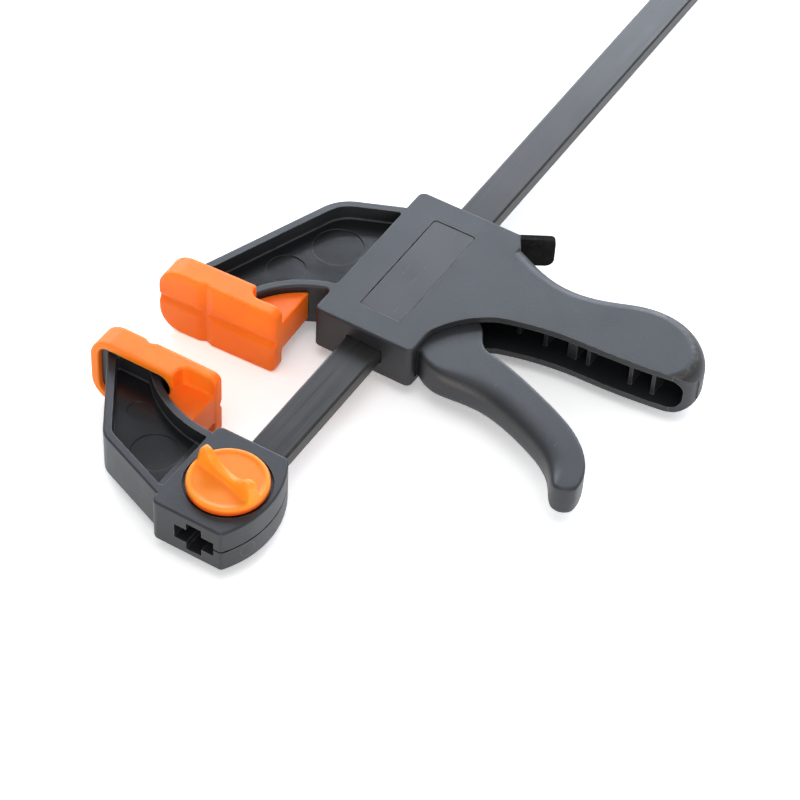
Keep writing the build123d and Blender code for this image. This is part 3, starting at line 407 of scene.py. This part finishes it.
def pad_tails():
    """Painted shade: one on the tails behind the pads' slabs and fading in on their low ends."""
    group, _, out = new_group("pad_tails", {}, ("Shaded",))
    x, y, _ = axes_of(group, place_in(group))
    behind = calc(group, "ABSOLUTE", calc(group, "SUBTRACT", x, PADS_MIDDLE))
    past = calc(group, "DIVIDE", calc(group, "SUBTRACT", behind, TAIL_DEPTH), 0.8 * MM, clamp=True)
    below = calc(group, "DIVIDE", calc(group, "SUBTRACT", TAIL_HIGH, y), 1.5 * MM, clamp=True)
    heel = spread(group, y, *HEEL_SPAN, 0.8, 0.0)
    group.links.new(calc(group, "MAXIMUM", calc(group, "MULTIPLY", past, below), heel), out["Shaded"])
    return group


def disc_side():
    """Painted shade: one low on the side of the knob's disc, none on its rim."""
    group, _, out = new_group("disc_side", {}, ("Shaded",))
    z = axes_of(group, place_in(group))["Z"]
    group.links.new(spread(group, z, *DISC_SPAN, 1.0, 0.0), out["Shaded"])
    return group


TAILS = pad_tails()
DISC = disc_side()


def soft_plastic(name, color, pale, deep, where, roughness, shine, see_through):
    """Flexible orange moulding, a little clear: paler rubbed edges, faint flow mottle, a satin skin, and
    a deeper, darker colour as painted shade where the group says that the surface is sheltered."""
    material, tree, shader = new_finish(name, roughness, shine=shine)
    shader.inputs["Subsurface Weight"].default_value = see_through
    shader.inputs["Subsurface Radius"].default_value = SEE_THROUGH_RADIUS
    shader.inputs["Subsurface Scale"].default_value = SEE_THROUGH_DEPTH
    skin = place_group(tree, GRAIN, size=0.0007, mottle=0.009)
    rub = place_group(tree, EDGE_WEAR_AND_HIGHLIGHT, radius=0.0007, **{"break": 0.004})["WearAndHighlight"]
    sheltered = place_group(tree, where)["Shaded"]
    deeper = (color[0] * 0.97, color[1] * 0.86, color[2] * 0.8)
    ground = blend_colors(tree, skin["Tone"], deeper, color)
    # painted shade: sheltered places take the deeper colour
    ground = blend_colors(tree, sheltered, ground, deep)
    ground = blend_colors(tree, calc(tree, "MULTIPLY", rub, 0.4), ground, pale)
    tree.links.new(ground, shader.inputs["Base Color"])
    rough = spread(tree, skin["Tone"], 0.0, 1.0, roughness - 0.05, roughness + 0.05)
    tree.links.new(rough, shader.inputs["Roughness"])
    relief(tree, shader, skin["Height"], 0.00003, soft_edge=0.0004)
    return material


FINISHES = {
    "slate": moulded_plastic(
        "slate_moulding", SLATE, SLATE_WEAR_AND_HIGHLIGHT, 0.50, web=0.32, spot=(STAINS, "Stain", GRIP_STAIN, 0.8)
    ),
    "nose": moulded_plastic(
        "nose_moulding", SLATE, SLATE_WEAR_AND_HIGHLIGHT, 0.44, web=0.24, spot=(GATE, "Ring", SLATE_WEAR_AND_HIGHLIGHT, 0.35)
    ),
    # painted highlight: the trigger's spot lightens a strip along its flank
    "trigger": moulded_plastic(
        "trigger_moulding",
        SLATE,
        SLATE_WEAR_AND_HIGHLIGHT,
        0.45,
        grain=0.0006,
        wear=0.7,
        spot=(FLANK_HIGHLIGHT, "Highlight", SLATE_WEAR_AND_HIGHLIGHT, 0.34),
    ),
    "plate": moulded_plastic(
        "nameplate_film", PLATE_GREY, SLATE_WEAR_AND_HIGHLIGHT, 0.38, grain=0.0003, depth=0.00001, wear=0.8
    ),
    "bar": blackened_steel("blackened_bar", BAR_BLACK, 0.40),
    "tab": dipped_black("brake_lever_coat", TAB_BLACK, TAB_LINT, 0.85),
    "pin": bare_steel("spring_pin_steel", PIN_STEEL, 0.38),
    "drive": bare_steel("drive_plate_steel", PLATE_STEEL, 0.36),
    "spring": bare_steel("spring_wire", SPRING_STEEL, 0.3, width=0.0002),
    "pad": soft_plastic("pad_orange", PAD_ORANGE, PAD_PALE, PAD_SHADED, TAILS, 0.48, 0.25, 0.5),
    "knob": soft_plastic("knob_orange", KNOB_ORANGE, KNOB_PALE, KNOB_SHADED, DISC, 0.40, 0.3, 0.3),
}
WORN_BY = {
    "slate": ("housing",),
    "nose": ("fixed_jaw",),
    "trigger": ("trigger",),
    "plate": ("nameplate",),
    "bar": ("bar",),
    "tab": ("brake_lever",),
    "pin": ("front_roll_pin", "rear_roll_pin", "trigger_pivot_pin", "brake_fulcrum_pin"),
    "drive": ("drive_plate_front", "drive_plate_rear"),
    "spring": ("drive_spring", "brake_spring", "knob_snap_ring"),
    "pad": ("fixed_jaw_pad", "moving_jaw_pad"),
    "knob": ("quick_change_knob",),
}


def wear(piece, finish):
    """Puts one finish on all of a piece."""
    piece.data.materials.clear()
    piece.data.materials.append(FINISHES[finish])


for finish, names in WORN_BY.items():
    for name in names:
        wear(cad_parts[name], finish)


# ---------------------------------------------------------------------------------------------
# Skins: the solids' own shapes with their edges melted round
# ---------------------------------------------------------------------------------------------
WELD_REACH = 0.002 * MM
TRIGGER_FRONT = (
    np.array(
        [(76.4, -27.0), (76.4, -37.0), (75.0, -48.0), (70.8, -59.9), (64.0, -72.0), (54.2, -82.0)]
    )
    * MM
)


def relaxed(points, edges, share, rounds):
    """Points that go, each round, half of their own share of the way to the mean of their neighbours."""
    starts = np.concatenate((edges[:, 0], edges[:, 1]))
    ends = np.concatenate((edges[:, 1], edges[:, 0]))
    total = len(points)
    pull = 0.5 * share / np.bincount(starts, minlength=total)
    for _ in range(rounds):
        sums = np.column_stack([np.bincount(starts, points[ends, axis], total) for axis in range(3)])
        points = points * (1.0 - 0.5 * share)[:, None] + sums * pull[:, None]
    return points


def ramp(values, low, high):
    """Smooth step from 0 at low to 1 at high; low may be the larger."""
    part = np.clip((values - low) / (high - low), 0.0, 1.0)
    return part * part * (3.0 - 2.0 * part)


def plan_distance(points, line):
    """Distance in plan from each point to an open line of corners."""
    start, step = line[:-1], np.diff(line, axis=0)
    reach = points[:, None, :2] - start[None]
    part = np.clip((reach * step).sum(axis=2) / (step * step).sum(axis=1), 0.0, 1.0)
    return np.linalg.norm(reach - part[:, :, None] * step, axis=2).min(axis=1)


def everywhere(points):
    """The whole skin melts alike."""
    return np.ones(len(points))


def knob_melt(points):
    """The disc melts fully and the upper half of the wing a third as much."""
    return 1.0 - 0.65 * ramp(points[:, 2] / MM, 18.8, 20.5)


def trigger_melt(points):
    """Nothing on the trigger's head; a front flank that grows half-round below it, fading again round
    the tip, where only the underside is round."""
    down = -points[:, 1] / MM
    flank = ramp(down, 24.0, 46.0) * ramp(plan_distance(points, TRIGGER_FRONT) / MM, 8.5, 3.0)
    flank = flank * (1.0 - 0.95 * ramp(down, 76.0, 81.0))
    underside = 0.35 * ramp(down, 72.0, 80.0) * ramp(points[:, 2] / MM, 8.0, 5.0)
    return np.maximum(np.maximum(flank, underside), 0.02)


def melted(node, name, cell, rounds, share):
    """The node's solid in even cells, relaxed by a share of each point."""
    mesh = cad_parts[node].data.copy()
    piece = bpy.data.objects.new(name, mesh)
    bpy.context.scene.collection.objects.link(piece)
    weld = piece.modifiers.new("weld", "WELD")
    weld.merge_threshold = WELD_REACH
    cells = piece.modifiers.new("cells", "REMESH")
    cells.mode = "VOXEL"
    cells.voxel_size = cell
    solved = piece.evaluated_get(bpy.context.evaluated_depsgraph_get())
    result = bpy.data.meshes.new_from_object(solved)
    piece.modifiers.clear()
    piece.data = result
    result.name = name
    points = np.empty(3 * len(result.vertices))
    result.vertices.foreach_get("co", points)
    edges = np.empty(2 * len(result.edges), int)
    result.edges.foreach_get("vertices", edges)
    points = points.reshape(-1, 3)
    points = relaxed(points, edges.reshape(-1, 2), share(points), rounds)
    result.vertices.foreach_set("co", points.ravel())
    result.update()
    result.shade_smooth()
    return piece


SKINS = (
    ("fixed_jaw_pad", "bar_assembly", "pad_rubber", "pad", 0.30 * MM, 5, everywhere),
    ("moving_jaw_pad", "moving_jaw", "pad_rubber", "pad", 0.30 * MM, 5, everywhere),
    ("quick_change_knob", "knob", "knob_plastic", "knob", 0.28 * MM, 12, knob_melt),
    ("trigger", "trigger_lever", "body_plastic", "trigger", 0.40 * MM, 170, trigger_melt),
)
for node, body, slot, finish, cell, rounds, share in SKINS:
    skin = melted(node, node + "_skin", cell, rounds, share)
    wear(skin, finish)
    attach(skin, body)
    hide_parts(node)

# Springs: the node, the joint that presses it, the end that stays and the share of its length left
COILS = (
    ("drive_spring", "trigger_squeeze", (108.0 * MM, 11.0 * MM, 8.1 * MM), 0.455),
    ("brake_spring", "brake_release", (141.3 * MM, 9.9 * MM, 8.1 * MM), 0.46),
)
for node, joint, fixed_end, left in COILS:
    coil = bpy.data.objects.new(node + "_coil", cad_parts[node].data.copy())
    bpy.context.scene.collection.objects.link(coil)
    wear(coil, "spring")
    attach(coil, "moving_jaw")
    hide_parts(node)
    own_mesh(coil)


# ---------------------------------------------------------------------------------------------
# Studio: floor under the pads, soft light from above and behind, camera
# ---------------------------------------------------------------------------------------------
FLOOR_Z = -4.75 * MM
FLOOR_HALF = 3.0
FLOOR_LIT = (0.93, 0.93, 0.93, 1.0)  # as light falls back from it
FLOOR_SEEN = (1.2, 1.2, 1.2, 1.0)
FLOOR_GLOW = 0.24
AIMED_AT = (0.07, 0.0, 0.01)  # where the softboxes point
WARM = (1.0, 0.985, 0.97)
SOFTBOXES = (  # name, azimuth, elevation, distance, width, height, power, colour
    ("softbox_behind", 62.0, 25.0, 1.3, 1.5, 0.45, 24.0, (0.79, 0.87, 1.0)),
    ("softbox_above", 240.0, 80.0, 1.4, 1.0, 1.0, 6.0, (1.0, 1.0, 1.0)),
    ("softbox_front", 240.0, 13.0, 1.5, 1.0, 0.5, 8.5, WARM),
    ("softbox_side", 165.0, 16.0, 1.5, 0.8, 0.5, 2.0, WARM),
)
CAMERA_PLACE = Vector((-448.80, -302.66, 623.58)) * MM
CAMERA_LENS = 123.52


def seen_brighter(tree, surface, color, glow):
    """The surface as a light bounces it, but bright paper with a glow to eye, glossy and clear rays."""
    path = put(tree, "ShaderNodeLightPath").outputs
    glass = calc(tree, "MAXIMUM", path["Is Glossy Ray"], path["Is Transmission Ray"])
    ray = calc(tree, "MAXIMUM", path["Is Camera Ray"], glass)
    bright = put(tree, "ShaderNodeBsdfDiffuse", {"Color": color}).outputs[0]
    light = put(tree, "ShaderNodeEmission", {"Color": (1.0, 1.0, 1.0, 1.0), "Strength": glow}).outputs[0]
    shown = put(tree, "ShaderNodeAddShader", {0: bright, 1: light}).outputs[0]
    return put(tree, "ShaderNodeMixShader", {0: ray, 1: surface, 2: shown}).outputs[0]


def lay_floor():
    """Flat square under the clamp."""
    corners = np.array([(-1, -1), (1, -1), (1, 1), (-1, 1)], float) * FLOOR_HALF
    points = np.column_stack((corners, np.full(4, FLOOR_Z)))
    mesh = bpy.data.meshes.new("floor")
    mesh.from_pydata(points.tolist(), [], [(0, 1, 2, 3)])
    floor = bpy.data.objects.new("floor", mesh)
    bpy.context.scene.collection.objects.link(floor)
    material = bpy.data.materials.new("floor_white")
    material.use_nodes = True
    tree = material.node_tree
    tree.nodes.clear()
    paper = put(tree, "ShaderNodeBsdfDiffuse", {"Color": FLOOR_LIT}).outputs[0]
    seen = seen_brighter(tree, paper, FLOOR_SEEN, FLOOR_GLOW)
    put(tree, "ShaderNodeOutputMaterial", {"Surface": seen})
    mesh.materials.append(material)


def light_world(horizon, zenith):
    """Pale surround: white to the eye, and as a light dimmer towards the zenith."""
    world = bpy.data.worlds.new("studio")
    bpy.context.scene.world = world
    world.use_nodes = True
    tree = world.node_tree
    tree.nodes.clear()
    path = put(tree, "ShaderNodeLightPath").outputs
    way = put(tree, "ShaderNodeTexCoord").outputs["Generated"]
    height = put(tree, "ShaderNodeSeparateXYZ", {0: way}).outputs["Z"]
    strength = spread(tree, height, 0.0, 0.8, horizon, zenith)
    inputs = {"Color": (0.97, 0.985, 1.0, 1.0), "Strength": strength}
    ambient = put(tree, "ShaderNodeBackground", inputs).outputs[0]
    inputs = {"Color": (1.0, 1.0, 1.0, 1.0), "Strength": 1.0}
    white = put(tree, "ShaderNodeBackground", inputs).outputs[0]
    inputs = {0: path["Is Camera Ray"], 1: ambient, 2: white}
    mixed = put(tree, "ShaderNodeMixShader", inputs).outputs[0]
    put(tree, "ShaderNodeOutputWorld", {"Surface": mixed})


def hang_softbox(name, azimuth, elevation, distance, width, height, power, color):
    """Soft lamp at an azimuth from +Y towards +X and an elevation, aimed at the clamp."""
    way = Vector((sin(azimuth) * cos(elevation), cos(azimuth) * cos(elevation), sin(elevation)))
    lamp = bpy.data.lights.new(name, "AREA")
    lamp.shape = "RECTANGLE"
    lamp.size = width
    lamp.size_y = height
    lamp.energy = power
    lamp.color = color
    made = bpy.data.objects.new(name, lamp)
    bpy.context.scene.collection.objects.link(made)
    made.location = Vector(AIMED_AT) + distance * way
    made.rotation_euler = way.to_track_quat("Z", "Y").to_euler()


def aim_camera(place, azimuth, elevation, roll, lens):
    """Camera that looks along (sin a cos e, cos a cos e, -sin e), turned about that line by roll."""
    forward = Vector((sin(azimuth) * cos(elevation), cos(azimuth) * cos(elevation), -sin(elevation)))
    right = Vector((cos(azimuth), -sin(azimuth), 0.0))
    up = right.cross(forward)
    turned_right = cos(roll) * right + sin(roll) * up
    turned_up = cos(roll) * up - sin(roll) * right
    camera = bpy.data.cameras.new("camera")
    camera.lens = lens
    camera.sensor_width = 36.0
    camera.clip_start = 0.01
    made = bpy.data.objects.new("camera", camera)
    bpy.context.scene.collection.objects.link(made)
    axes = Matrix((turned_right, turned_up, -forward)).transposed()
    made.matrix_world = Matrix.Translation(place) @ axes.to_4x4()
    bpy.context.scene.camera = made


lay_floor()
light_world(0.95, 0.42)
for name, azimuth, elevation, *rest in SOFTBOXES:
    hang_softbox(name, radians(azimuth), radians(elevation), *rest)
aim_camera(CAMERA_PLACE, radians(61.224), radians(46.458), radians(3.543), CAMERA_LENS)
bpy.context.scene.view_settings.view_transform = "Standard"
